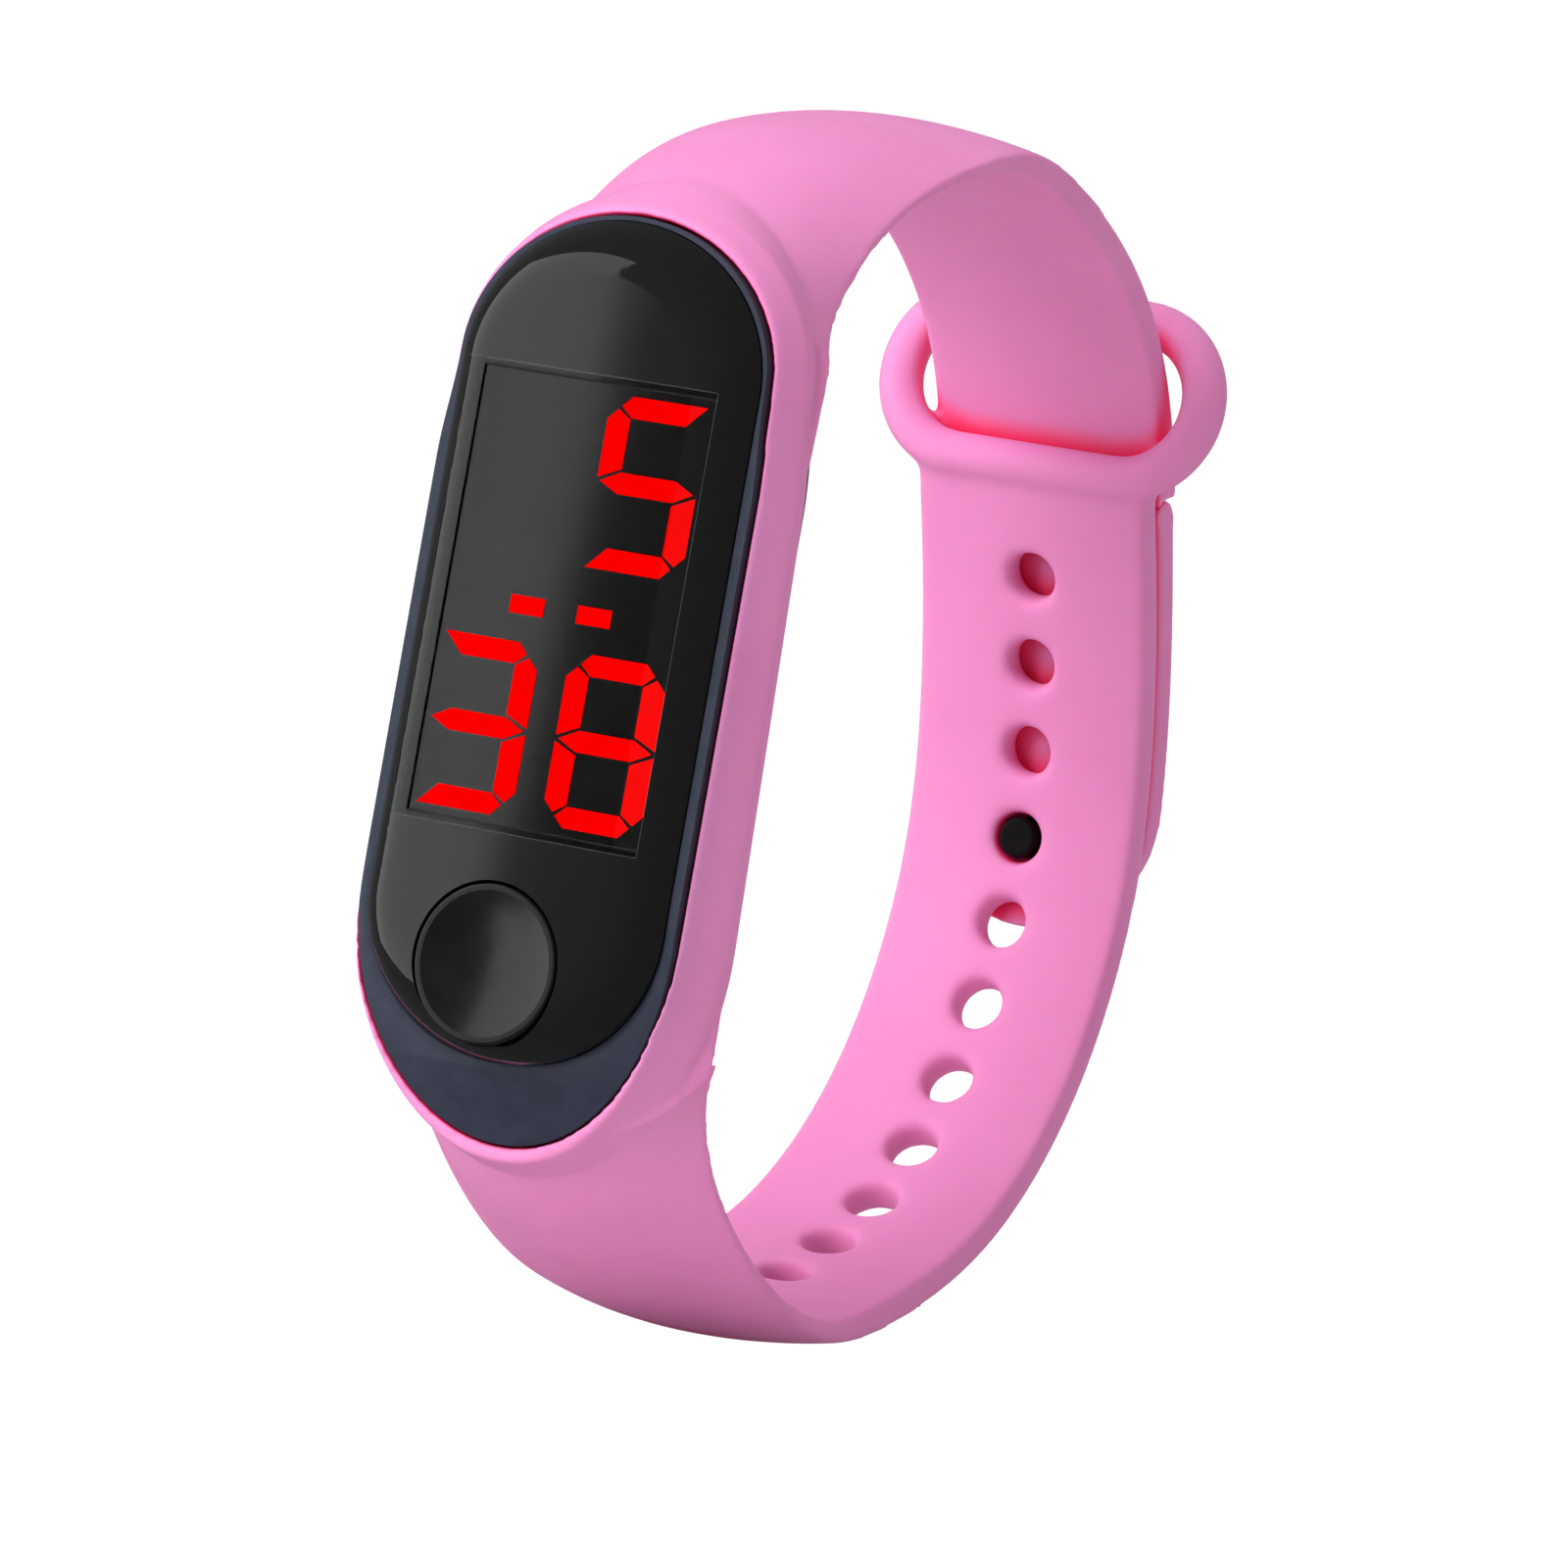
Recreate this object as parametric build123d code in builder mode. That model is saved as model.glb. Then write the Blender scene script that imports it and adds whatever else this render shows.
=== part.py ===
from build123d import *
import os
from math import exp, hypot

# Fitness tracker band: a capsule tracker with a red digit display, held in a one-piece silicone strap.
# +X runs across the wrist, the screen faces -Y and the capsule stands along +Z.
# The origin is the centre of the wrist opening. Millimetres. Depths are measured behind the lens rim.

# ---- driving dimensions: where things stand
rim_y = -33.0          # the lens rim plane
capsule_z = 2.0        # the lens centre

# ---- driving dimensions: lens and case, measured from the lens centre
lens_width = 17.6
lens_end = 21.9        # lens centre to either end
lens_dome = 2.2        # lens face in front of its rim
lens_skin = 1.1
lens_seat = 1.2        # the lens reaches this far behind its rim
lens_flank = ((0, 0), (0.7, 0.42), (1.3, 0.9), (1.8, 1.5), (2.1, 2.2))  # height, inset
lens_flat_in = 3.0     # inset of the lens's flat front
glue_line = 0.15
end_ratio = 0.9        # how round the capsule's ends are: 1 is a half circle
case_half = 9.4        # half the case's width
case_top_half = 9.05   # the same where the top end starts to round
case_top, case_top_end = 22.2, 8.0
case_bottom, case_bottom_end = 26.1, 11.9
case_taper = 5.7       # the case narrows over this length below its top end
case_front = 0.1
case_step = 4.4        # the case gets narrower behind this depth
case_back = 7.4
step_in = 1.25         # by this much all round
front_wall = 2.0       # depth of the front wall's inner face
window_in = 1.1        # the front wall's window, in from the lens's outline
window_narrows = 0.5   # the lens's hollow narrows by this much towards the front
chin_start = -12.0     # the case's front face curves back below this height
chin_drop = 2.2
chin_beyond = 1.2      # the slope's cut runs on past the chin's tip
cavity_half, cavity_top, cavity_bottom = 7.35, 19.2, 23.2
inner_gap = 0.15       # cavity to what stands in it
fit_gap = 0.05         # parts that sit in each other
seal_thickness = 0.3
cover_thickness = 1.2

# ---- driving dimensions: silicone strap
strap_width = 14.9
tail_width = 14.4
strap_thickness = 2.1
tail_thickness = 1.9
tail_crown, tail_edge = 0.25, 1.4
tail_gap = 0.15        # tail to holed strap
root_gap = 0.45        # the same, at the tail's root
# each ring of the cradle: depth, growth, more at the top, more at the chin, slope of the ring
cradle_rings = (
    (0.4, 0.24, 0.0, 0.1, 0.0),
    (1.5, 0.55, 0.15, 0.35, 0.03),
    (3.35, 1.2, 0.3, 0.3, 0.045),
    (4.9, 0.7, 1.5, 1.1, 0.045),
    (6.3, -0.15, 2.9, 2.5, 0.045),
)
cradle_fit = 0.12      # silicone to case
lip_gap = 0.2
hole_count = 11
hole_pitch = 5.28      # along the strap's outer face
first_hole = 6.4       # from the ring bar
hole_r = 1.42
hole_flare = 0.35      # the hole's rim widens by this much
rim_depth = 0.55
stud_hole = 4          # the stud sits in this hole
stud_r = 1.17
cap_r = 3.4
cap_sink = 0.35
cap_proud = 0.45
ring_cord_r = 1.3
ring_half_width = 9.55
ring_low = (16.4, 16.55)    # (Y, Z) of the bar that ends the holed arm
ring_high = (17.4, 25.45)   # (Y, Z) of the bar outside the upper arm
hinge_along = 2.7      # the tail bends here, along the strap from the ring bar
tail_length = 24.7
knuckle_gap, knuckle_width = 0.10, 14.0

# ---- driving dimensions: button, display and electronics
button_down = -16.9
button_r = 4.15
button_gap = 0.15
button_dish = 0.6
button_back = -0.35
ear_length, ear_height, ear_thickness = 11.0, 2.4, 0.5
ear_gap = 0.2
stem_r, stem_back = 1.6, 0.35
plunger_r, plunger_length = 0.9, 1.0
switch_size, switch_front = 4.6, 0.7
block_front, board_front, board_back = -0.75, 2.1, 2.9
block_in = 1.2         # display block, in from the lens's outline
block_face_in, block_face_top_in = 1.8, 2.4
block_skin = 0.25      # what covers the segments that stay dark
digit_width, digit_height, digit_gap = 5.85, 9.0, 0.17
bar_stroke, post_stroke, digit_cut = 1.12, 1.3, 1.3
hour_spot, tens_spot, minute_spot, dark_spot = (3.7, 8.5), (-3.7, -4.88), (3.94, -4.88), (-3.7, 8.5)
colon_x, colon_up, colon_width, colon_height = 2.0, 1.53, 2.0, 0.95
pipe_proud = 0.06
led_size, led_height = 0.6, 0.3
cell_r, cell_thickness, cell_front, cell_down = 6.25, 2.0, 4.3, -4.0
frame_wall = 0.85
cell_margin = 2.4      # the frame's plate round the cell
contact_thickness = 0.15
screw_spots = [(-4.0, 15.6), (4.0, 15.6), (-4.2, -18.8), (4.2, -18.8)]
screw_r, screw_head_r, screw_head, boss_r = 0.5, 1.0, 0.6, 1.3
screw_sink = 0.1       # the heads lie this far below the cover's face
screw_from_board = 0.8
screw_slot, screw_slot_length = 0.3, 1.3

os.makedirs("parts", exist_ok=True)


def keep(part, name):
    """Label a finished piece and write it as its own STEP file."""
    part.label = name
    export_step(part, f"parts/{name}.step")


def face_plane(depth, right=0.0, up=0.0):
    """A plane parallel to the lens rim, this far behind it. Its x is +X, its y is +Z, its normal -Y."""
    return Plane(origin=(right, rim_y + depth, capsule_z + up), x_dir=(1, 0, 0), z_dir=(0, -1, 0))


def capsule(width, top, bottom):
    """Capsule outline: straight sides and half-ellipse ends, measured from the lens centre."""
    half = width / 2
    end = half * end_ratio
    with BuildLine() as outline:
        Line((half, end - bottom), (half, top - end))
        EllipticalCenterArc((0, top - end), half, end, start_angle=0, arc_size=180)
        Line((-half, top - end), (-half, end - bottom))
        EllipticalCenterArc((0, end - bottom), half, end, start_angle=180, arc_size=180)
    return outline.edges()


def case_outline(inset=0.0, more_top=0.0, more_chin=0.0):
    """The case's outline, moved in by this much all round, or with longer ends."""
    side, top_side = case_half - inset, case_top_half - inset
    top_end, chin_end = case_top_end - inset + more_top, case_bottom_end - inset + more_chin
    shoulder, chin = case_top - case_top_end, case_bottom_end - case_bottom
    taper_start = shoulder - case_taper
    with BuildLine() as outline:
        Line((side, chin), (side, taper_start))
        Spline((side, taper_start), (top_side, shoulder), tangents=[(0, 1), (0, 1)])
        EllipticalCenterArc((0, shoulder), top_side, top_end, start_angle=0, arc_size=180)
        Spline((-top_side, shoulder), (-side, taper_start), tangents=[(0, -1), (0, -1)])
        Line((-side, taper_start), (-side, chin))
        EllipticalCenterArc((0, chin), side, chin_end, start_angle=180, arc_size=180)
    return outline.edges()


def lens_outline(inset=0.0, top_inset=None):
    """The lens's outline, moved in by this much all round, or by more at the top end."""
    top = lens_end - (inset if top_inset is None else top_inset)
    return capsule(lens_width - 2 * inset, top, lens_end - inset)


def inner_outline(inset=0.0):
    """The cavity's outline, moved in by this much all round."""
    return capsule(2 * (cavity_half - inset), cavity_top - inset, cavity_bottom - inset)


def chin_profile(front):
    """What lies in front of the sloping chin, in the plane X = 0, for a face at this depth."""
    flat = rim_y + front
    start_z, tip_z = capsule_z + chin_start, capsule_z - case_bottom
    with BuildLine() as profile:
        Line((flat - 1, start_z), (flat, start_z))
        ThreePointArc((flat, start_z), (flat + chin_drop * 0.25, (start_z + tip_z) / 2),
                      (flat + chin_drop, tip_z))
        Polyline((flat + chin_drop, tip_z), (flat + chin_drop, tip_z - chin_beyond),
                 (flat - 1, tip_z - chin_beyond), (flat - 1, start_z))
    return profile.edges()


def strap_section(half_width, crown, thickness, edge, outer=0.0):
    """Strap cross-section: an arched outer face, an inner face that follows it, and edges this thick."""
    inner_half = half_width - 0.2 * edge
    with BuildLine() as section:
        ThreePointArc((-half_width, outer + crown), (0, outer), (half_width, outer + crown))
        Line((half_width, outer + crown), (inner_half, outer + crown + edge))
        ThreePointArc((inner_half, outer + crown + edge), (0, outer + thickness),
                      (-inner_half, outer + crown + edge))
        Line((-inner_half, outer + crown + edge), (-half_width, outer + crown))
    return section.edges()


def station(path, along):
    """A plane across the path, this far along it. Its x is +X and its y points into the loop."""
    point = path.position_at(along, position_mode=PositionMode.LENGTH)
    tangent = path.tangent_at(along, position_mode=PositionMode.LENGTH)
    return Plane(origin=point, x_dir=(1, 0, 0), z_dir=tangent)


def along_normal(path, along):
    """A plane on the strap's outer face at a station. Its x is +X and its normal points into the loop."""
    across = station(path, along)
    return Plane(origin=across.origin, x_dir=(1, 0, 0), z_dir=across.y_dir)


def arm_half_width(along):
    """Half the strap's width, this far from the capsule's end."""
    fade = min(max((along - 18) / 24, 0), 1)
    fade = fade * fade * (3 - 2 * fade)
    return strap_width / 2 + 1.15 * (1 - fade) + 1.6 * exp(-along / 2.5)


def arm_crown(along):
    """How far the strap's edges drop behind its middle, this far from the capsule's end."""
    return 0.25 + 6.75 * exp(-along / 13)


def arm_edge(along):
    """How thick the strap's edges are, this far from the capsule's end."""
    fade = min(max((along - 12) / 26, 0), 1)
    return 0.4 + 1.2 * fade * fade * (3 - 2 * fade)


# ---- the strap's outer face in the plane X = 0: the holed arm, then the upper arm, which ends at the bend
with BuildLine(Plane.YZ) as lower_line:
    Spline((17.6, 16.9), (20.2, 11.0), (23.6, 0.9), (24.4, -4.5), (24.1, -9.9), (20.2, -20.2),
           (13.3, -27.4), (4.0, -31.8), (-5.0, -33.5), (-13.0, -32.3), (-22.0, -29.0), (-31.0, -24.2))
lower_path = lower_line.wire()
lower_length = lower_path.length
bend = station(lower_path, hinge_along)
bend_axis = bend.origin - bend.y_dir * (root_gap + tail_thickness / 2)
bend_outer = bend.origin - bend.y_dir * (root_gap + tail_thickness)
with BuildLine(Plane.YZ) as upper_line:
    Spline((-32.2, 24.3), (-23.0, 29.3), (-13.0, 32.3), (-4.4, 33.2), (4.2, 31.3), (12.0, 27.4),
           (17.2, 22.4), (bend_outer.Y, bend_outer.Z),
           tangents=[(0.85, 0.53), (bend.z_dir.Y, bend.z_dir.Z)])
upper_path = upper_line.wire()
upper_length = upper_path.length
stud_along = first_hole + (stud_hole - 1) * hole_pitch
stud_plane = along_normal(lower_path, stud_along).offset(-tail_gap - tail_thickness)

# ---- strap: cradle, both arms and the keeper ring
with BuildPart() as strap:
    for depth, growth, more_top, more_chin, tilt in cradle_rings:
        tilted = Plane(origin=(0, rim_y + depth, capsule_z), x_dir=(1, 0, 0), z_dir=(0, -1, -tilt))
        with BuildSketch(tilted):
            make_face(case_outline(-growth, more_top, more_chin))
    loft(ruled=True)
    upper_steps = 12
    for i in range(upper_steps + 1):
        along = upper_length * i / upper_steps
        with BuildSketch(station(upper_path, along)):
            make_face(strap_section(arm_half_width(along), arm_crown(along),
                                    strap_thickness + (tail_thickness - strap_thickness) * i / upper_steps,
                                    arm_edge(along)))
    loft()
    lower_steps = 16
    for i in range(lower_steps + 1):
        along = lower_length * i / lower_steps
        from_capsule = lower_length - along
        with BuildSketch(station(lower_path, along)):
            make_face(strap_section(arm_half_width(from_capsule), arm_crown(from_capsule), strap_thickness,
                                    arm_edge(from_capsule)))
    loft()
    ring_rise = (ring_high[0] - ring_low[0], ring_high[1] - ring_low[1])
    ring_end = hypot(*ring_rise) / 2
    ring_plane = Plane(origin=(0, (ring_low[0] + ring_high[0]) / 2, (ring_low[1] + ring_high[1]) / 2),
                       x_dir=(1, 0, 0), z_dir=(0, -ring_rise[1], ring_rise[0]))
    with BuildLine(ring_plane) as ring_line:
        Line((ring_end - ring_half_width, -ring_end), (ring_half_width - ring_end, -ring_end))
        ThreePointArc((ring_half_width - ring_end, -ring_end), (ring_half_width, 0),
                      (ring_half_width - ring_end, ring_end))
        Line((ring_half_width - ring_end, ring_end), (ring_end - ring_half_width, ring_end))
        ThreePointArc((ring_end - ring_half_width, ring_end), (-ring_half_width, 0),
                      (ring_end - ring_half_width, -ring_end))
    ring_path = ring_line.wire()
    with BuildSketch(Plane(origin=ring_path @ 0, z_dir=ring_path % 0)):
        Circle(ring_cord_r)
    sweep(path=ring_path)
    with BuildSketch(face_plane(case_step + cradle_fit)):
        make_face(case_outline(-cradle_fit))
    extrude(amount=case_step + 8, mode=Mode.SUBTRACT)
    with BuildSketch(face_plane(case_back + 8)):
        make_face(case_outline(step_in - lip_gap))
    extrude(amount=case_back + 8, mode=Mode.SUBTRACT)
    with BuildSketch(Plane.YZ):
        make_face(chin_profile(case_front - 0.15))
    extrude(amount=case_half + 2, both=True, mode=Mode.SUBTRACT)
    for i in range(hole_count):
        with BuildSketch(station(lower_path, first_hole + i * hole_pitch)):
            with BuildLine():
                flare_r = hole_r + hole_flare
                waist_r = hole_r + hole_flare * 0.3
                back = strap_thickness
                Polyline((0, -1.5), (flare_r, -1.5), (flare_r, -0.05))
                ThreePointArc((flare_r, -0.05), (waist_r, 0.2), (hole_r, rim_depth))
                Line((hole_r, rim_depth), (hole_r, back - rim_depth))
                ThreePointArc((hole_r, back - rim_depth), (waist_r, back - 0.2), (flare_r, back + 0.05))
                Polyline((flare_r, back + 0.05), (flare_r, back + 1.5), (0, back + 1.5), (0, -1.5))
            make_face()
        spot = station(lower_path, first_hole + i * hole_pitch)
        revolve(axis=Axis(spot.origin, spot.y_dir), mode=Mode.SUBTRACT)
    with BuildSketch(Plane(origin=(0, bend_axis.Y, bend_axis.Z), z_dir=(1, 0, 0))):
        Circle(tail_thickness / 2 + knuckle_gap)
    extrude(amount=case_half, both=True, mode=Mode.SUBTRACT)
keep(strap.part, "strap")

# ---- strap_tail: the free end beyond the bend, with the stud's seat
with BuildPart() as strap_tail:
    tail_steps = 8
    for i in range(tail_steps + 1):
        share = i / tail_steps
        gap = tail_gap + (root_gap - tail_gap) * (1 - share) ** 2
        with BuildSketch(station(lower_path, hinge_along + tail_length * share)):
            make_face(strap_section(tail_width / 2, tail_crown, tail_thickness, tail_edge,
                                    outer=-gap - tail_thickness))
    loft()
    with BuildSketch(Plane(origin=(-knuckle_width / 2, bend_axis.Y, bend_axis.Z), z_dir=(1, 0, 0))):
        Circle(tail_thickness / 2)
    extrude(amount=knuckle_width)
    with BuildSketch(along_normal(lower_path, hinge_along + tail_length - tail_width / 2)):
        Rectangle(tail_width + 4, tail_width, align=(Align.CENTER, Align.MAX))
        Circle(tail_width / 2 - 0.05, mode=Mode.SUBTRACT)
    extrude(amount=8, both=True, mode=Mode.SUBTRACT)
    with BuildSketch(along_normal(lower_path, stud_along)):
        Circle(stud_r)
    extrude(amount=5, both=True, mode=Mode.SUBTRACT)
    with BuildSketch(stud_plane.offset(cap_sink)):
        Circle(cap_r + fit_gap)
    extrude(amount=-4, mode=Mode.SUBTRACT)
keep(strap_tail.part, "strap_tail")

# ---- stud_pin and stud_cap: a rivet through the tail, whose tip fills hole 4
stud_reach = tail_thickness + tail_gap + strap_thickness - 0.15
with BuildPart() as stud_pin:
    with BuildSketch(stud_plane.offset(cap_sink)):
        Circle(stud_r)
    extrude(amount=stud_reach - cap_sink)
    fillet(stud_pin.faces().sort_by(Axis(stud_plane.origin, stud_plane.z_dir))[-1].edges(), 0.25)
keep(stud_pin.part, "stud_pin")

with BuildPart() as stud_cap:
    with BuildSketch(stud_plane.offset(cap_sink)):
        Circle(cap_r)
    extrude(amount=-(cap_sink + cap_proud))
    fillet(stud_cap.faces().sort_by(Axis(stud_plane.origin, stud_plane.z_dir))[0].edges(), 0.35)
keep(stud_cap.part, "stud_cap")

# ---- case_body: a tub, open at the back, with the lens seat, the display window and the sloping chin
with BuildPart() as case_body:
    with BuildSketch(face_plane(case_front)):
        make_face(case_outline())
    extrude(amount=case_front - case_step)
    with BuildSketch(face_plane(case_step)):
        make_face(case_outline(step_in))
    extrude(amount=case_step - case_back)
    with BuildSketch(Plane.YZ):
        make_face(chin_profile(case_front))
    extrude(amount=case_half, both=True, mode=Mode.SUBTRACT)
    with BuildSketch(face_plane(lens_seat)):
        make_face(lens_outline(-fit_gap))
    extrude(amount=lens_seat + 1, mode=Mode.SUBTRACT)
    with BuildSketch(face_plane(front_wall)):
        make_face(lens_outline(window_in))
    extrude(amount=front_wall + 1, mode=Mode.SUBTRACT)
    with BuildSketch(face_plane(front_wall)):
        make_face(inner_outline())
    extrude(amount=front_wall - case_back, mode=Mode.SUBTRACT)
keep(case_body.part, "case_body")

# ---- lens: the domed window, hollow behind, bored for the button
with BuildPart() as lens:
    with BuildSketch(face_plane(lens_seat - glue_line)):
        make_face(lens_outline())
    extrude(amount=lens_seat - glue_line)
    for height, inset in (*lens_flank, (lens_dome, lens_flat_in)):
        with BuildSketch(face_plane(-height)):
            make_face(lens_outline(inset))
    loft()
    with BuildSketch(face_plane(lens_seat)):
        make_face(lens_outline(window_in))
    extrude(amount=lens_seat, mode=Mode.SUBTRACT)
    for height, inset in ((0, window_in), (lens_dome - lens_skin, window_in + window_narrows)):
        with BuildSketch(face_plane(-height)):
            make_face(lens_outline(inset))
    loft(mode=Mode.SUBTRACT)
    with BuildSketch(face_plane(0, up=button_down)):
        Circle(button_r + button_gap)
    extrude(amount=lens_dome + 1, mode=Mode.SUBTRACT)
keep(lens.part, "lens")

with BuildPart() as lens_adhesive:
    with BuildSketch(face_plane(lens_seat)):
        make_face(lens_outline(fit_gap))
        make_face(lens_outline(window_in - fit_gap), mode=Mode.SUBTRACT)
    extrude(amount=glue_line)
keep(lens_adhesive.part, "lens_adhesive")

# ---- button_cap: a dished disc with two retaining ears behind the lens and a stem to the switch
with BuildPart() as button_cap:
    with BuildSketch(face_plane(button_back, up=button_down)):
        Circle(button_r)
    extrude(amount=button_back + lens_dome)
    fillet(button_cap.faces().sort_by(Axis.Y)[0].edges(), 0.12)
    with BuildSketch(face_plane(button_back, up=button_down)):
        Rectangle(ear_length, ear_height)
    extrude(amount=-ear_thickness)
    with BuildSketch(face_plane(button_back + ear_thickness, up=button_down)):
        Circle(stem_r)
    extrude(amount=-(stem_back - button_back - ear_thickness))
    dish_half = button_r - 0.35
    with BuildSketch(Plane(origin=(0, rim_y - lens_dome, capsule_z + button_down),
                           x_dir=(1, 0, 0), z_dir=(0, 0, 1))):
        with BuildLine():
            ThreePointArc((0, button_dish), (dish_half / 2, button_dish * 0.75), (dish_half, 0))
            Polyline((dish_half, 0), (dish_half, -1), (0, -1), (0, button_dish))
        make_face()
    revolve(axis=Axis((0, 0, capsule_z + button_down), (0, 1, 0)), mode=Mode.SUBTRACT)
keep(button_cap.part, "button_cap")

with BuildPart() as switch_plunger:
    with BuildSketch(face_plane(stem_back, up=button_down)):
        Circle(plunger_r)
    extrude(amount=-plunger_length)
keep(switch_plunger.part, "switch_plunger")

with BuildPart() as switch_body:
    with BuildSketch(face_plane(board_front, up=button_down)):
        RectangleRounded(switch_size, switch_size, 0.4)
    extrude(amount=board_front - switch_front)
    with BuildSketch(face_plane(board_front - 0.3, up=button_down)):
        Circle(plunger_r + 0.07)
    extrude(amount=board_front + 1, mode=Mode.SUBTRACT)
keep(switch_body.part, "switch_body")


# ---- display: seven-segment digits, drawn upright about their centre
all_segments = ["top", "upper_left", "upper_right", "middle", "lower_left", "lower_right", "bottom"]
lit_segments = {
    3: ["top", "upper_right", "middle", "lower_right", "bottom"],
    5: ["top", "upper_left", "middle", "lower_right", "bottom"],
    8: all_segments,
    None: [],
}
digit_spots = [(5, hour_spot, "hour_digit"), (3, tens_spot, "minute_digits"),
               (8, minute_spot, "minute_digits"), (None, dark_spot, None)]


def flipped(outline, across, upright):
    """An outline mirrored left to right and top to bottom where the factor is -1."""
    return [(x * across, y * upright) for x, y in outline]


def bar(cut_right, cut_left):
    """The top bar. An end that meets a lit post is cut to a blunt corner, a free end runs to a point."""
    w, h, t, c, g = digit_width / 2, digit_height / 2, bar_stroke, digit_cut, digit_gap
    blunt = [(w - c, h), (w - c / 2 - g / 2, h - c / 2 + g / 2), (w - post_stroke - g / 2, h - t)]
    pointed = [(w - g, h), (w - post_stroke, h - t)]
    right = blunt if cut_right else pointed
    left = blunt if cut_left else pointed
    return right + [(-x, y) for x, y in reversed(left)]


def segment(name, lit):
    """The outline of one segment of a digit in which these segments are lit."""
    w, h, c, g = digit_width / 2, digit_height / 2, digit_cut, digit_gap
    t, p = bar_stroke / 2, post_stroke
    if name == "middle":
        return [(-w + g, 0), (p - w, t), (w - p, t), (w - g, 0), (w - p, -t), (p - w, -t)]
    if name == "top":
        return bar("upper_right" in lit, "upper_left" in lit)
    if name == "bottom":
        return flipped(bar("lower_right" in lit, "lower_left" in lit), 1, -1)
    post = [(w, h - c), (w, g), (w - p, t + g), (w - p, h - bar_stroke - g / 2),
            (w - c / 2 + g / 2, h - c / 2 - g / 2)]
    return flipped(post, -1 if "left" in name else 1, -1 if "lower" in name else 1)


def segment_outlines(node):
    """Outlines for one node: its lit segments, or with None every segment that stays dark."""
    found = []
    for figure, (right, up), owner in digit_spots:
        lit = lit_segments[figure]
        for name in all_segments:
            wanted = name in lit and owner == node if node else name not in lit
            if wanted:
                found.append([(x + right, y + up) for x, y in segment(name, lit)])
    return found


pipe_back = board_front - 0.5
colon_spots = [(-colon_x, colon_up), (colon_x, colon_up)]

with BuildPart() as display_block:
    with BuildSketch(face_plane(board_front)):
        make_face(capsule(2 * (cavity_half - inner_gap), cavity_top - inner_gap, lens_end - block_in))
    extrude(amount=board_front)
    with BuildSketch(face_plane(front_wall - fit_gap)):
        make_face(lens_outline(block_in))
    extrude(amount=front_wall - fit_gap)
    with BuildSketch(face_plane(0)):
        make_face(lens_outline(block_in))
    with BuildSketch(face_plane(block_front)):
        make_face(lens_outline(block_face_in, block_face_top_in))
    loft(ruled=True)
    for node, stop in (("hour_digit", block_front - 1), ("minute_digits", block_front - 1),
                       (None, block_front + block_skin)):
        with BuildSketch(face_plane(board_front)):
            for outline in segment_outlines(node):
                Polygon(*outline, align=None)
        extrude(amount=board_front - stop, mode=Mode.SUBTRACT)
    with BuildSketch(face_plane(board_front)):
        with Locations(*colon_spots):
            Rectangle(colon_width, colon_height)
        with Locations((0, button_down)):
            Circle(button_r + ear_gap)
    extrude(amount=board_front + 2, mode=Mode.SUBTRACT)
    with BuildSketch(face_plane(board_front, up=button_down)):
        Rectangle(ear_length + 2 * ear_gap, ear_height + 2 * ear_gap)
    extrude(amount=board_front - button_back + fit_gap, mode=Mode.SUBTRACT)
keep(display_block.part, "display_block")

for node, name in (("hour_digit", "hour_digit"), ("minute_digits", "minute_digits"),
                   (None, "unlit_segments")):
    with BuildPart() as light_pipes:
        with BuildSketch(face_plane(pipe_back)):
            for outline in segment_outlines(node):
                Polygon(*outline, align=None)
        extrude(amount=pipe_back - block_front + (pipe_proud if node else -block_skin))
    keep(light_pipes.part, name)

with BuildPart() as colon_lights:
    with BuildSketch(face_plane(pipe_back)):
        with Locations(*colon_spots):
            Rectangle(colon_width, colon_height)
    extrude(amount=pipe_back - block_front + pipe_proud)
keep(colon_lights.part, "colon_lights")

chip_spots = [(sum(x for x, y in outline) / len(outline), sum(y for x, y in outline) / len(outline))
              for node in ("hour_digit", "minute_digits", None) for outline in segment_outlines(node)]
with BuildPart() as led_chips:
    with BuildSketch(face_plane(board_front)):
        with Locations(*chip_spots, *colon_spots):
            Rectangle(led_size, led_size)
    extrude(amount=led_height)
keep(led_chips.part, "led_chips")

# ---- pcb and what it carries on its back
with BuildPart() as pcb:
    with BuildSketch(face_plane(board_back)):
        make_face(inner_outline(inner_gap))
    extrude(amount=board_back - board_front)
keep(pcb.part, "pcb")

with BuildPart() as mcu_chip:
    with BuildSketch(face_plane(board_back, up=9.5)):
        Rectangle(5.0, 5.0)
    extrude(amount=-0.9)
    chamfer(mcu_chip.faces().sort_by(Axis.Y)[-1].edges(), 0.1)
keep(mcu_chip.part, "mcu_chip")

with BuildPart() as clock_crystal:
    with BuildSketch(face_plane(board_back, right=-3.9, up=5.4)):
        RectangleRounded(1.5, 3.2, 0.3)
    extrude(amount=-0.8)
keep(clock_crystal.part, "clock_crystal")

with BuildPart() as smd_parts:
    with BuildSketch(face_plane(board_back, up=13.6)):
        with GridLocations(1.6, 1.3, 4, 2):
            Rectangle(1.0, 0.5)
    extrude(amount=-0.45)
    with BuildSketch(face_plane(board_back, right=4.2, up=6.0)):
        with GridLocations(1.4, 1.6, 1, 2):
            Rectangle(0.5, 1.0)
    extrude(amount=-0.45)
keep(smd_parts.part, "smd_parts")

# ---- battery: a coin cell in a frame, between two contact strips
cell_back = cell_front + cell_thickness
with BuildPart() as coin_cell:
    with BuildSketch(face_plane(cell_back, up=cell_down)):
        Circle(cell_r)
    extrude(amount=cell_thickness)
    chamfer(coin_cell.faces().sort_by(Axis.Y)[0].edges(), 0.35)
keep(coin_cell.part, "coin_cell")

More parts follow.
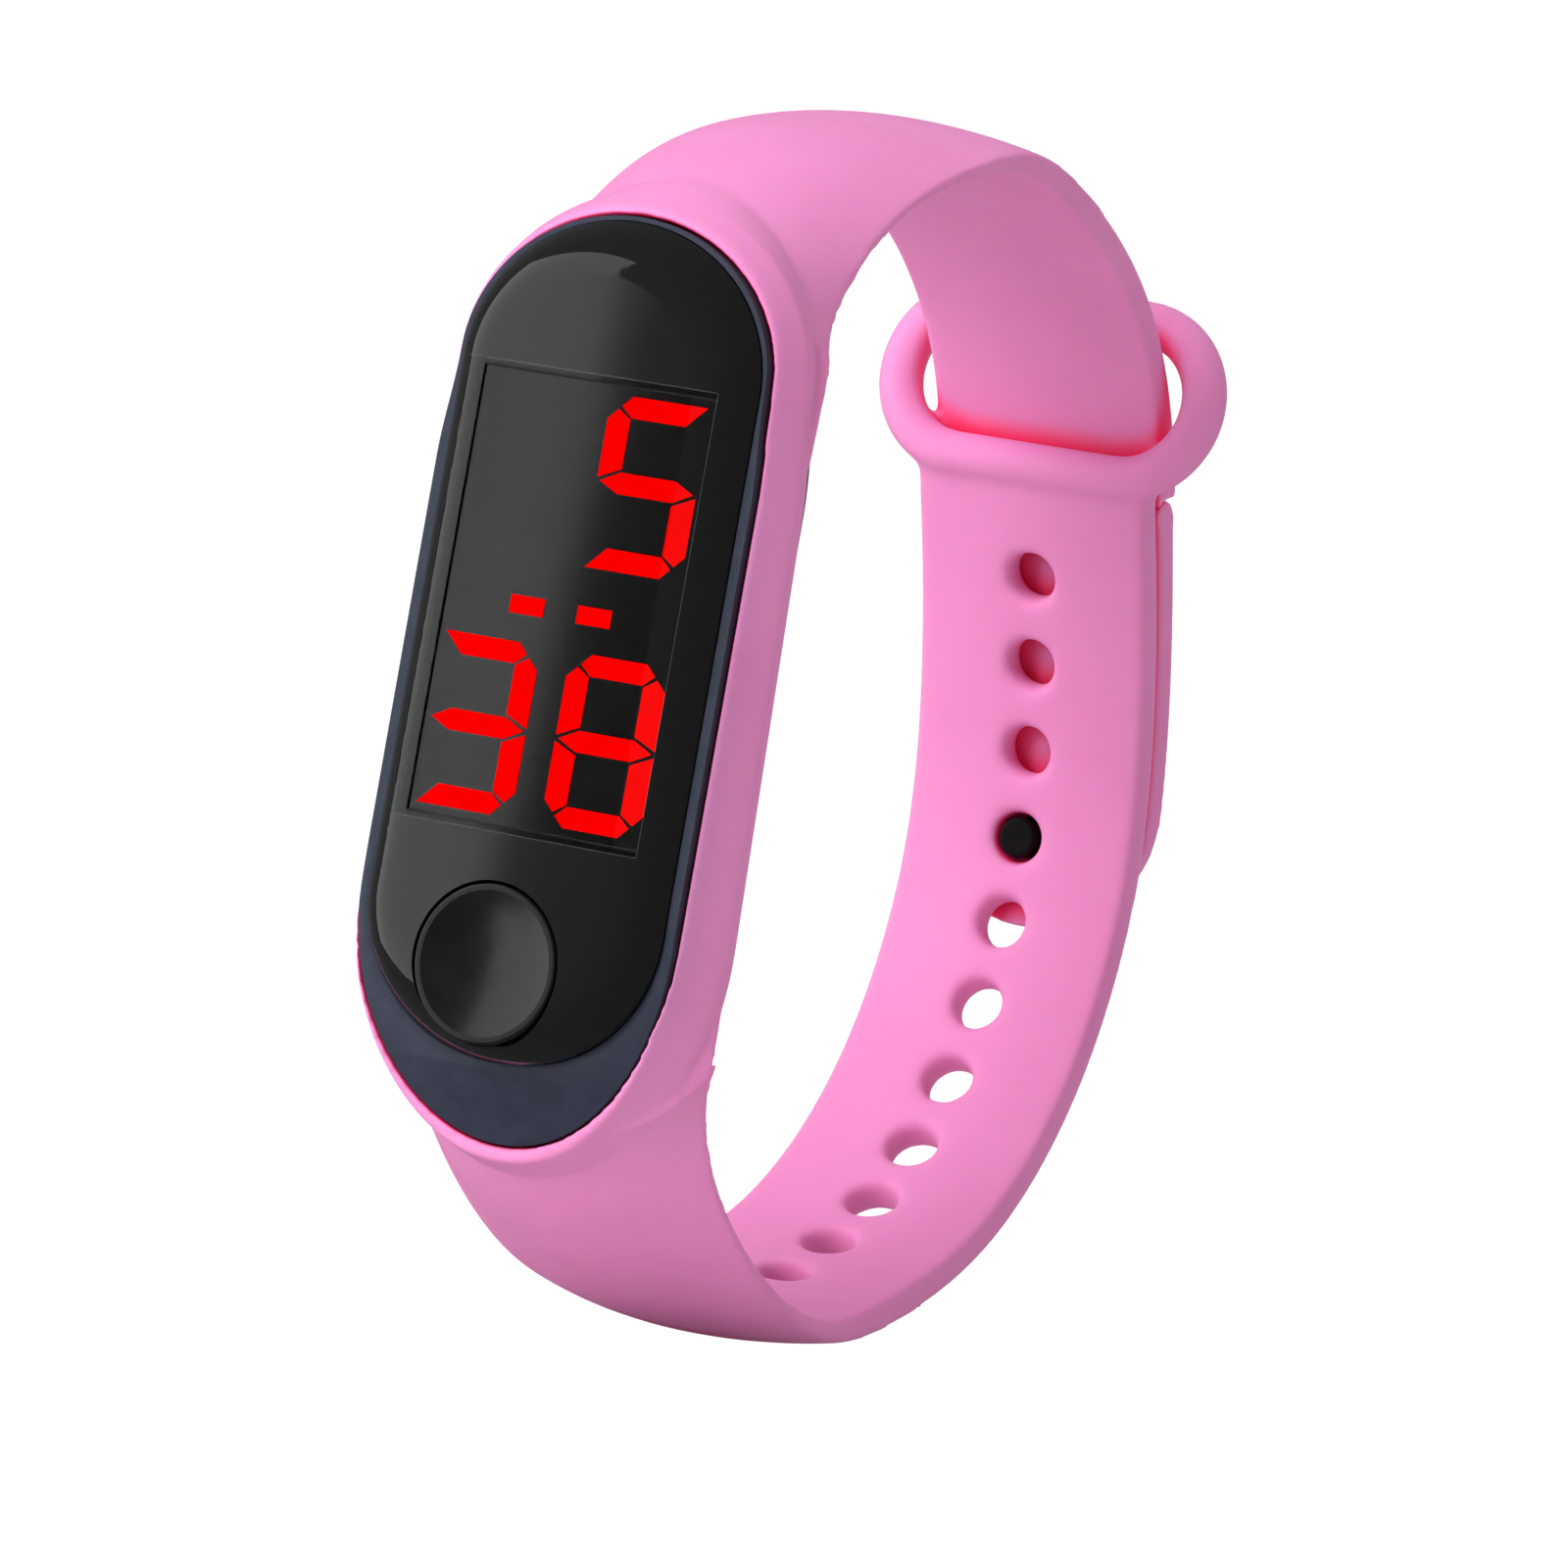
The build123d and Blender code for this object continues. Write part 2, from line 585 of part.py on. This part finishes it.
frame_front, frame_back = board_back, cell_back + 0.6
with BuildPart() as battery_frame:
    with BuildSketch(face_plane(frame_back)):
        make_face(inner_outline(inner_gap))
        make_face(inner_outline(inner_gap + frame_wall), mode=Mode.SUBTRACT)
    extrude(amount=frame_back - frame_front)
    with BuildSketch(face_plane(frame_back)):
        with Locations((0, cell_down)):
            Rectangle(2 * (cavity_half - inner_gap) - frame_wall, 2 * cell_r + cell_margin)
            Circle(cell_r + 0.1, mode=Mode.SUBTRACT)
    extrude(amount=frame_back - cell_front)
    with BuildSketch(face_plane(frame_back)):
        with Locations(*screw_spots):
            Circle(boss_r)
    extrude(amount=frame_back - frame_front)
    with BuildSketch(face_plane(case_back)):
        with Locations(*screw_spots):
            Circle(screw_r)
    extrude(amount=case_back - frame_front - 0.6, mode=Mode.SUBTRACT)
    with BuildSketch(face_plane(frame_back)):
        with Locations((0, cell_down + 3.0)):
            Rectangle(3.4, 13.6)
    extrude(amount=frame_back - cell_back + 0.2, mode=Mode.SUBTRACT)
keep(battery_frame.part, "battery_frame")

with BuildPart() as battery_contact_negative:
    with BuildSketch(face_plane(cell_front, up=cell_down)):
        Rectangle(2.4, 8.0)
    extrude(amount=contact_thickness)
    with BuildSketch(face_plane(cell_front - contact_thickness, up=cell_down + 3.6)):
        Rectangle(2.4, 0.8)
    extrude(amount=cell_front - contact_thickness - board_back)
keep(battery_contact_negative.part, "battery_contact_negative")

with BuildPart() as battery_contact_positive:
    with BuildSketch(face_plane(cell_back + contact_thickness, up=cell_down + 3.0)):
        Rectangle(3.0, 13.0)
    extrude(amount=contact_thickness)
    with BuildSketch(face_plane(cell_back + contact_thickness, up=cell_down + 9.4)):
        Rectangle(3.0, 0.2)
    extrude(amount=cell_back + contact_thickness - board_back)
keep(battery_contact_positive.part, "battery_contact_positive")

# ---- back cover, its seal and the four screws
cover_front = case_back + seal_thickness
cover_back = cover_front + cover_thickness
with BuildPart() as back_seal:
    with BuildSketch(face_plane(cover_front)):
        make_face(case_outline(step_in + 0.1))
        make_face(inner_outline(-fit_gap), mode=Mode.SUBTRACT)
    extrude(amount=seal_thickness)
keep(back_seal.part, "back_seal")

with BuildPart() as back_cover:
    with BuildSketch(face_plane(cover_back)):
        make_face(case_outline(step_in))
    extrude(amount=cover_thickness)
    fillet(back_cover.faces().sort_by(Axis.Y)[-1].edges(), 0.9)
    with BuildSketch(face_plane(cover_front)):
        with Locations(*screw_spots):
            Circle(boss_r)
    extrude(amount=cover_front - frame_back)
    with BuildSketch(face_plane(cover_back)):
        with Locations(*screw_spots):
            Circle(screw_r + 0.1)
    extrude(amount=cover_back, mode=Mode.SUBTRACT)
    with BuildSketch(face_plane(cover_back)):
        with Locations(*screw_spots):
            Circle(screw_head_r + 0.1)
    extrude(amount=screw_head + screw_sink, mode=Mode.SUBTRACT)
keep(back_cover.part, "back_cover")

with BuildPart() as back_screws:
    with BuildSketch(face_plane(cover_back - screw_sink)):
        with Locations(*screw_spots):
            Circle(screw_head_r)
    extrude(amount=screw_head)
    with BuildSketch(face_plane(cover_back - screw_sink - screw_head)):
        with Locations(*screw_spots):
            Circle(screw_r)
    extrude(amount=cover_back - screw_sink - screw_head - frame_front - screw_from_board)
    with BuildSketch(face_plane(cover_back - screw_sink)):
        with Locations(*screw_spots):
            Rectangle(screw_slot_length, screw_slot)
            Rectangle(screw_slot, screw_slot_length)
    extrude(amount=screw_slot, mode=Mode.SUBTRACT)
keep(back_screws.part, "back_screws")
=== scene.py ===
"""Fitness tracker band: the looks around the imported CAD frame. Metres, in the row frame."""

from math import cos, pi, radians, sin

import bmesh
import bpy
from mathutils import Matrix, Vector


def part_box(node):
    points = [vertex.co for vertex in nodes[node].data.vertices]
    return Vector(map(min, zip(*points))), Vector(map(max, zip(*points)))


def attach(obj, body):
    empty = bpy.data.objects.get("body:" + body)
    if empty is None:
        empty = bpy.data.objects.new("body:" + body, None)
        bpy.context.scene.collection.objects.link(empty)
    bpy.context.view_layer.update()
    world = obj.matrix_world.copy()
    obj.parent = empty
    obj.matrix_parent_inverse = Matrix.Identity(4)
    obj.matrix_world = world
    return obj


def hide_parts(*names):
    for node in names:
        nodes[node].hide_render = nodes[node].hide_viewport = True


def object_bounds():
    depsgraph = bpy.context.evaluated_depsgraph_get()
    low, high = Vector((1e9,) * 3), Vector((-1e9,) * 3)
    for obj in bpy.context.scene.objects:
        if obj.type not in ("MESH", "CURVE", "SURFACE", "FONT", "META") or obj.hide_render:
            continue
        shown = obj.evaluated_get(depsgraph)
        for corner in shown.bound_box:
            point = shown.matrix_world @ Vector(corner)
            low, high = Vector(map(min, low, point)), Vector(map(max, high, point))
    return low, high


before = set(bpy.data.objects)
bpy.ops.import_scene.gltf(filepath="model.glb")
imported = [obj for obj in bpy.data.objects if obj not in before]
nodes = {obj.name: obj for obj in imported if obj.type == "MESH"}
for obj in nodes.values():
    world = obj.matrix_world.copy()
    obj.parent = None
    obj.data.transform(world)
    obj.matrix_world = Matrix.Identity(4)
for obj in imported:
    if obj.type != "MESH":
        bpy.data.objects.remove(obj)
cad_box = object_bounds()
mm = 0.001
scene = bpy.context.scene
scene.view_settings.view_transform = "Standard"


# ---- node helpers
def material(name):
    """A new node material, as (material, its node tree, its Principled node)."""
    made = bpy.data.materials.new(name)
    made.use_nodes = True
    tree = made.node_tree
    return made, tree, tree.nodes["Principled BSDF"]


def add(tree, kind, inputs=None, **settings):
    """A node with its properties and input values set."""
    node = tree.nodes.new(kind)
    for key, value in settings.items():
        setattr(node, key, value)
    for key, value in (inputs or {}).items():
        node.inputs[key].default_value = value
    return node


def noise(tree, size, detail=3.0):
    """Noise of this feature size in metres, laid out in object space."""
    place = add(tree, "ShaderNodeTexCoord")
    made = add(tree, "ShaderNodeTexNoise", {"Scale": 1 / size, "Detail": detail, "Roughness": 0.5})
    tree.links.new(place.outputs["Object"], made.inputs["Vector"])
    return made.outputs["Fac"]


def ramp(tree, value, stops):
    """A colour ramp over value, from two (place, colour) stops."""
    made = add(tree, "ShaderNodeValToRGB")
    for element, (place, colour) in zip(made.color_ramp.elements, stops):
        element.position = place
        element.color = (*colour, 1)
    tree.links.new(value, made.inputs["Fac"])
    return made.outputs["Color"]


def bump(tree, shader, height, depth):
    """Bumps on a shader, from a height socket and a depth in metres."""
    made = add(tree, "ShaderNodeBump", {"Strength": 1.0, "Distance": depth})
    tree.links.new(height, made.inputs["Height"])
    tree.links.new(made.outputs["Normal"], shader.inputs["Normal"])


def spread(tree, socket, low, high, low_in=0.3, high_in=0.7):
    """A value mapped from low_in..high_in to low..high, and held there beyond."""
    made = add(tree, "ShaderNodeMapRange",
               {"From Min": low_in, "From Max": high_in, "To Min": low, "To Max": high})
    tree.links.new(socket, made.inputs["Value"])
    return made.outputs["Result"]


def combine(tree, operation, first, second):
    """Two value sockets joined by a Math node."""
    made = add(tree, "ShaderNodeMath", operation=operation)
    tree.links.new(first, made.inputs[0])
    tree.links.new(second, made.inputs[1])
    return made.outputs[0]


def within(tree, value, centre, half, soft):
    """1 where a value lies within half of a centre, 0 beyond, with an edge this soft."""
    shifted = add(tree, "ShaderNodeMath", {1: centre}, operation="SUBTRACT")
    tree.links.new(value, shifted.inputs[0])
    distance = add(tree, "ShaderNodeMath", operation="ABSOLUTE")
    tree.links.new(shifted.outputs[0], distance.inputs[0])
    return spread(tree, distance.outputs[0], 1, 0, half - soft, half + soft)


def object_axes(tree):
    """The X, Y and Z sockets of the place in object space."""
    place = add(tree, "ShaderNodeTexCoord")
    spot = add(tree, "ShaderNodeSeparateXYZ")
    tree.links.new(place.outputs["Object"], spot.inputs[0])
    return spot.outputs["X"], spot.outputs["Y"], spot.outputs["Z"]


def mix_colour(tree, share, dark, light):
    """A fixed colour that gives way to a colour socket as the share rises."""
    factor, first, second, result = 0, 6, 7, 2  # the sockets of a Mix node in its colour mode
    made = add(tree, "ShaderNodeMix", {first: (*dark, 1)}, data_type="RGBA")
    tree.links.new(share, made.inputs[factor])
    tree.links.new(light, made.inputs[second])
    return made.outputs[result]


def mix_shaders(tree, share, first, second):
    """The first shader, giving way to the second where the share socket is 1."""
    made = add(tree, "ShaderNodeMixShader")
    for slot, socket in enumerate((share, first, second)):
        tree.links.new(socket, made.inputs[slot])
    return made.outputs[0]


def shade(*objects, with_material):
    """Gives whole objects one material."""
    for o in objects:
        o.data.materials.clear()
        o.data.materials.append(with_material)


# ---- materials
def plain(name, dark, light, rough, metallic=0.0, grain=None, specular=0.5):
    """A moulded or milled finish: a colour that drifts between two tones, uneven gloss and a fine grain."""
    made, tree, shader = material(name)
    size = 1.2 * mm
    drift = noise(tree, size, detail=4)
    tree.links.new(ramp(tree, drift, [(0.35, dark), (0.65, light)]), shader.inputs["Base Color"])
    tree.links.new(spread(tree, noise(tree, size * 0.6), *rough), shader.inputs["Roughness"])
    shader.inputs["Metallic"].default_value = metallic
    shader.inputs["Specular IOR Level"].default_value = specular
    if grain:
        grain_size, grain_depth = grain
        bump(tree, shader, noise(tree, grain_size, detail=2), grain_depth)
    return made


def silicone():
    """Soft-touch silicone: light scatters a little way in, and creases and holes get a painted shade of
    deeper crimson from an ambient occlusion mask.
    """
    made, tree, shader = material("pink_silicone")
    drift = noise(tree, 9 * mm, detail=2)
    pale = ramp(tree, drift, [(0.3, (0.82, 0.268, 0.555)), (0.7, (0.85, 0.292, 0.59))])
    # painted shade: where ambient occlusion finds a crease or hole, the base colour turns a deeper crimson
    crease_occlusion = add(tree, "ShaderNodeAmbientOcclusion", {"Distance": 1.6 * mm}, samples=8)
    free_of_painted_shade = spread(tree, crease_occlusion.outputs["AO"], 0, 1, 0.35, 0.85)
    tree.links.new(mix_colour(tree, free_of_painted_shade, (1.0, 0.03, 0.16), pale), shader.inputs["Base Color"])
    tree.links.new(spread(tree, noise(tree, 3 * mm), 0.48, 0.56), shader.inputs["Roughness"])
    shader.inputs["Subsurface Weight"].default_value = 0.3
    shader.inputs["Subsurface Radius"].default_value = (1.0, 0.25, 0.45)
    shader.inputs["Subsurface Scale"].default_value = 0.8 * mm
    shader.inputs["Specular IOR Level"].default_value = 0.35
    bump(tree, shader, noise(tree, 0.25 * mm), 0.006 * mm)
    return made


# the lit digits, the mask's polished field round them, and the lens's window, which is a little larger
digits_low, digits_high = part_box("minute_digits")[0].z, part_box("hour_digit")[1].z
digits_middle = (digits_low + digits_high) / 2
field_half_height = (digits_high - digits_low) / 2 + 0.5 * mm
window_half_height = field_half_height + 0.3 * mm
mask_half_width = 6.98 * mm
window_half_width = 7.4 * mm
uncoated_half_width = 6.17 * mm
field_edge, window_edge = 0.1 * mm, 0.005 * mm


def display_mask():
    """The black mask: it mirrors the room round the digits and is matt under the lens's printed border."""
    made, tree, shader = material("mask_black")
    across, _, upright = object_axes(tree)
    polished = combine(tree, "MULTIPLY", within(tree, across, 0, mask_half_width, 0.01 * mm),
                       within(tree, upright, digits_middle, field_half_height, field_edge))
    drift = noise(tree, 1.2 * mm, detail=4)
    tree.links.new(ramp(tree, drift, [(0.35, (0.006, 0.006, 0.0065)), (0.65, (0.007, 0.007, 0.0075))]),
                   shader.inputs["Base Color"])
    tree.links.new(spread(tree, polished, 0.8, 0.05, 0, 1), shader.inputs["Roughness"])
    tree.links.new(spread(tree, polished, 0, 0.5, 0, 1), shader.inputs["Specular IOR Level"])
    return made


def smoked_glass():
    """The lens: a clear window over the digits inside a black printed border that mirrors the room."""
    made, tree, shader = material("smoked_lens")
    across, depth, upright = object_axes(tree)
    window = combine(tree, "MULTIPLY", within(tree, across, 0, window_half_width, window_edge),
                     within(tree, upright, digits_middle, window_half_height, window_edge))
    uncoated = combine(tree, "MULTIPLY", within(tree, across, 0, uncoated_half_width, 0.05 * mm),
                       within(tree, upright, digits_middle, field_half_height, field_edge))
    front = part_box("lens")[0].y
    inner_face = spread(tree, depth, 0, 1, front + 0.7 * mm, front + 0.9 * mm)
    bare = combine(tree, "MAXIMUM", uncoated, combine(tree, "MULTIPLY", window, inner_face))
    clear = ramp(tree, noise(tree, 4 * mm), [(0.3, (0.98, 0.98, 0.98)), (0.7, (1, 1, 1))])
    tree.links.new(mix_colour(tree, window, (0.008, 0.008, 0.0085), clear), shader.inputs["Base Color"])
    tree.links.new(window, shader.inputs["Transmission Weight"])
    tree.links.new(spread(tree, bare, 1, 0, 0, 1), shader.inputs["Coat Weight"])
    tree.links.new(spread(tree, noise(tree, 2 * mm), 0.045, 0.055), shader.inputs["Coat Roughness"])
    shader.inputs["IOR"].default_value = 1.0
    shader.inputs["Roughness"].default_value = 0.0
    return made


def led_red():
    """Lit diffuser: an even pure red."""
    made, tree, shader = material("led_red")
    glow = noise(tree, 0.5 * mm)
    tree.links.new(ramp(tree, glow, [(0.3, (0.9, 0.0, 0.0)), (0.7, (1.0, 0.0, 0.0))]),
                   shader.inputs["Emission Color"])
    shader.inputs["Emission Strength"].default_value = 1.05
    shader.inputs["Base Color"].default_value = (0.02, 0.0, 0.0, 1)
    shader.inputs["Specular IOR Level"].default_value = 0.0
    shader.inputs["Roughness"].default_value = 0.5
    return made


pink = silicone()
finishes = [
    (plain("navy_case", (0.025, 0.030, 0.049), (0.031, 0.037, 0.060), rough=(0.34, 0.42),
           grain=(0.08 * mm, 0.003 * mm), specular=0.3),
     ["case_body", "back_cover"]),
    (smoked_glass(),
     ["lens"]),
    (plain("button_black", (0.004, 0.004, 0.0045), (0.006, 0.006, 0.0065), rough=(0.2, 0.26)),
     ["button_cap"]),
    (plain("stud_black", (0.0015, 0.0015, 0.0015), (0.003, 0.003, 0.003), rough=(0.5, 0.6),
           grain=(0.15 * mm, 0.004 * mm), specular=0.15),
     ["stud_pin", "stud_cap"]),
    (led_red(),
     ["hour_digit", "minute_digits", "colon_lights", "led_chips"]),
    (display_mask(),
     ["display_block"]),
    (plain("dark_diffuser", (0.006, 0.004, 0.004), (0.009, 0.006, 0.006), rough=(0.5, 0.7)),
     ["unlit_segments"]),
    (plain("frame_plastic", (0.03, 0.03, 0.032), (0.05, 0.05, 0.052), rough=(0.45, 0.6)),
     ["battery_frame"]),
    (plain("board_green", (0.01, 0.09, 0.035), (0.015, 0.13, 0.05), rough=(0.3, 0.4)),
     ["pcb"]),
    (plain("chip_black", (0.012, 0.012, 0.012), (0.03, 0.03, 0.03), rough=(0.5, 0.65)),
     ["mcu_chip", "smd_parts", "switch_body", "switch_plunger"]),
    (plain("cell_steel", (0.55, 0.55, 0.56), (0.68, 0.68, 0.69), rough=(0.22, 0.34), metallic=1.0),
     ["coin_cell", "clock_crystal"]),
    (plain("spring_steel", (0.6, 0.56, 0.45), (0.7, 0.66, 0.52), rough=(0.25, 0.35), metallic=1.0),
     ["battery_contact_negative", "battery_contact_positive"]),
    (plain("screw_steel", (0.42, 0.42, 0.43), (0.55, 0.55, 0.56), rough=(0.25, 0.4), metallic=1.0),
     ["back_screws"]),
    (plain("seal_rubber", (0.02, 0.02, 0.02), (0.04, 0.04, 0.04), rough=(0.6, 0.75)),
     ["back_seal", "lens_adhesive"]),
]
for finish, members in finishes:
    shade(*[nodes[name] for name in members], with_material=finish)


# ---- strap: a smooth skin over each CAD solid
tiny = 0.001 * mm      # corners nearer than this are one
rear_start = -14 * mm  # from here back to Y = 0 the extra rounding fades in

# where each arm's thin edges run on into the cradle's sides: the corners of a convex filler, in mm
arm_roots = (
    ((10.2, -28.5, 18.4), (10.1, -28.3, 18.0), (8.6, -29.6, 20.1), (8.8, -28.9, 18.6),
     (10.3, -29.5, 13.0), (10.1, -28.6, 13.0), (9.55, -28.5, 13.0), (9.55, -29.6, 13.0)),
    ((10.2, -27.7, -18.0), (10.1, -27.5, -17.6), (8.5, -28.7, -19.9), (8.7, -28.0, -19.0),
     (10.2, -29.0, -12.0), (10.05, -28.0, -12.0), (9.7, -28.0, -12.0), (9.7, -29.2, -12.0)),
)


def prepare(mesh, fillers):
    """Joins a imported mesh's doubled corners and adds closed fillers, each with its mirror image in X."""
    work = bmesh.new()
    work.from_mesh(mesh)
    bmesh.ops.remove_doubles(work, verts=work.verts, dist=tiny)
    for points in fillers:
        for side in (1, -1):
            corners = [work.verts.new((x * side * mm, y * mm, z * mm)) for x, y, z in points]
            shape = bmesh.ops.convex_hull(work, input=corners)
            faces = [item for item in shape["geom"] if isinstance(item, bmesh.types.BMFace)]
            bmesh.ops.recalc_face_normals(work, faces=faces)
    work.to_mesh(mesh)
    work.free()


def smooth(piece, rounds, group=""):
    """A Smooth modifier, held to a vertex group if one is named."""
    made = piece.modifiers.new("smooth", "SMOOTH")
    made.factor = 0.5
    made.iterations = rounds
    made.vertex_group = group


def apply_modifiers(piece):
    """Gives a piece its evaluated mesh."""
    done = bpy.data.meshes.new_from_object(piece.evaluated_get(bpy.context.evaluated_depsgraph_get()))
    piece.modifiers.clear()
    piece.data = done


def mark_rear(piece):
    """A vertex group that rises from 0 at rear_start to 1 at Y = 0."""
    group = piece.vertex_groups.new(name="rear")
    for vertex in piece.data.vertices:
        share = min(max(1 - vertex.co.y / rear_start, 0), 1)
        if share:
            group.add([vertex.index], share * share * (3 - 2 * share), "REPLACE")


def skin(name, node, rounds, rear_rounds, fillers=()):
    """A closed, softened silicone skin over a CAD solid, with rounder edges towards the rear."""
    made = bpy.data.objects.new(name, nodes[node].data.copy())
    scene.collection.objects.link(made)
    prepare(made.data, fillers)
    remesh = made.modifiers.new("skin", "REMESH")
    remesh.mode = "VOXEL"
    remesh.voxel_size = 0.17 * mm
    smooth(made, rounds)
    apply_modifiers(made)
    mark_rear(made)
    smooth(made, rear_rounds, "rear")
    apply_modifiers(made)
    made.vertex_groups.clear()
    made.data.shade_smooth()
    shade(made, with_material=pink)
    return made


strap_skin = skin("strap_skin", "strap", 12, 30, arm_roots)
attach(strap_skin, "band")
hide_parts("strap")
tail_skin = skin("tail_skin", "strap_tail", 10, 12)
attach(tail_skin, "tail")
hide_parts("strap_tail")


# ---- softened edges on the hard parts
def soften(name, width):
    """A small bevel on a CAD piece's sharp edges."""
    piece = nodes[name]
    joined = piece.modifiers.new("join", "WELD")
    joined.merge_threshold = tiny
    edge = piece.modifiers.new("edge", "BEVEL")
    edge.width = width
    edge.segments = 2
    edge.limit_method = "ANGLE"
    edge.angle_limit = radians(50)


for name, width in (("case_body", 0.06 * mm), ("button_cap", 0.06 * mm), ("back_cover", 0.08 * mm)):
    soften(name, width)


# ---- camera
def camera_axes(azimuth, elevation, roll):
    """The camera's right, up and back directions."""
    back = Vector((sin(azimuth) * cos(elevation), -cos(azimuth) * cos(elevation), sin(elevation)))
    level = Vector((0, 0, 1)).cross(back).normalized()
    upright = back.cross(level)
    right = cos(roll) * level - sin(roll) * upright
    up = sin(roll) * level + cos(roll) * upright
    return right, up, back


def set_camera():
    """The camera, rolled so that the upright band leans as it does in the picture."""
    azimuth, elevation, roll = radians(28.0), radians(0.467), radians(-10.05)
    right, up, back = camera_axes(azimuth, elevation, roll)
    target, distance = Vector((14.123, -33.0, -3.135)) * mm, 450 * mm
    made = bpy.data.objects.new("camera", bpy.data.cameras.new("camera"))
    made.data.lens = 204.07
    made.data.sensor_width = 36
    made.data.clip_start, made.data.clip_end = 0.01, 10
    place = Matrix((right, up, back)).transposed().to_4x4()
    place.translation = target + back * distance
    made.matrix_world = place
    scene.collection.objects.link(made)
    scene.camera = made
    return made


camera = set_camera()


# ---- studio
white = 1.05  # what the camera sees behind and below the band


def studio():
    """A white room for the camera, an even grey one for diffuse light and a dim one in reflections."""
    world = bpy.data.worlds.new("studio")
    world.use_nodes = True
    tree = world.node_tree
    path = add(tree, "ShaderNodeLightPath")
    room = tree.nodes["Background"]
    room.inputs["Color"].default_value = (0.425, 0.425, 0.425, 1)
    seen = add(tree, "ShaderNodeBackground", {"Color": (white, white, white, 1)})
    dim = add(tree, "ShaderNodeBackground", {"Color": (0.1, 0.1, 0.1, 1)})
    mirrored = combine(tree, "MAXIMUM", path.outputs["Is Glossy Ray"], path.outputs["Is Transmission Ray"])
    unseen = mix_shaders(tree, mirrored, room.outputs[0], dim.outputs[0])
    both = mix_shaders(tree, path.outputs["Is Camera Ray"], unseen, seen.outputs[0])
    tree.links.new(both, tree.nodes["World Output"].inputs["Surface"])
    scene.world = world


def floor():
    """A pale floor that the camera sees as plain white and reflections don't see."""
    disc = bmesh.new()
    bmesh.ops.create_circle(disc, cap_ends=True, segments=96, radius=0.8)
    mesh = bpy.data.meshes.new("floor")
    disc.to_mesh(mesh)
    disc.free()
    made = bpy.data.objects.new("floor", mesh)
    made.location = (0, 0, cad_box[0].z - 1.0 * mm)
    scene.collection.objects.link(made)
    finish, tree, shader = material("pale_floor")
    shader.inputs["Base Color"].default_value = (0.8, 0.8, 0.8, 1)
    shader.inputs["Roughness"].default_value = 0.9
    path = add(tree, "ShaderNodeLightPath")
    glow = add(tree, "ShaderNodeEmission", {"Strength": white})
    both = mix_shaders(tree, path.outputs["Is Camera Ray"], shader.outputs[0], glow.outputs[0])
    tree.links.new(both, tree.nodes["Material Output"].inputs["Surface"])
    shade(made, with_material=finish)
    made.visible_glossy = False


def softbox(name, place, width, height, radiance, in_reflections=False):
    """A rectangular light that faces the origin."""
    light = bpy.data.lights.new(name, "AREA")
    light.shape = "RECTANGLE"
    light.size, light.size_y = width, height
    light.energy = radiance * width * height * pi
    made = bpy.data.objects.new(name, light)
    made.location = place
    made.rotation_mode = "QUATERNION"
    made.rotation_quaternion = Vector(place).to_track_quat("Z", "Y")
    made.visible_camera = False
    made.visible_glossy = made.visible_transmission = in_reflections
    scene.collection.objects.link(made)
    return made


def lens_card():
    """A softbox for reflections only: the mask mirrors its right edge close to the lens's centre line."""
    eye = camera.matrix_world.translation
    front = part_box("display_block")[0].y
    eye_behind = Vector((eye.x, 2 * front - eye.y, eye.z))
    reach, lens_z = 600 * mm, 2.0 * mm

    def mirrored(right, up):
        """The point on the card that the mask mirrors here, in mm from the lens's centre."""
        spot = Vector((right * mm, front, lens_z + up * mm))
        return spot + (spot - eye_behind).normalized() * reach

    top, low = mirrored(0.7, 13), mirrored(-0.7, -12)
    along = (top - low).normalized()
    ray = ((top + low) / 2 - Vector((0, front, lens_z))).normalized()
    left = ray.cross(along).normalized()
    width, height, below, turn = 700 * mm, 720 * mm, 260 * mm, radians(18)
    turned = (left * cos(turn) - ray * sin(turn)).normalized()
    facing = turned.cross(along).normalized()
    made = softbox("lens_card", low, width, height, 1.35, in_reflections=True)
    place = Matrix((along.cross(-facing), along, -facing)).transposed().to_4x4()
    place.translation = low + along * (height / 2 - below) + turned * width / 2
    made.matrix_world = place
    made.visible_diffuse = False


studio()
floor()
lens_card()
softbox("key", (-0.35, -0.55, 0.5), 0.45, 0.45, 7.0)
softbox("front", (-0.12, -0.62, 0.0), 0.4, 0.4, 6.5)
softbox("back", (0.1, 0.5, 0.45), 0.4, 0.4, 3.0)
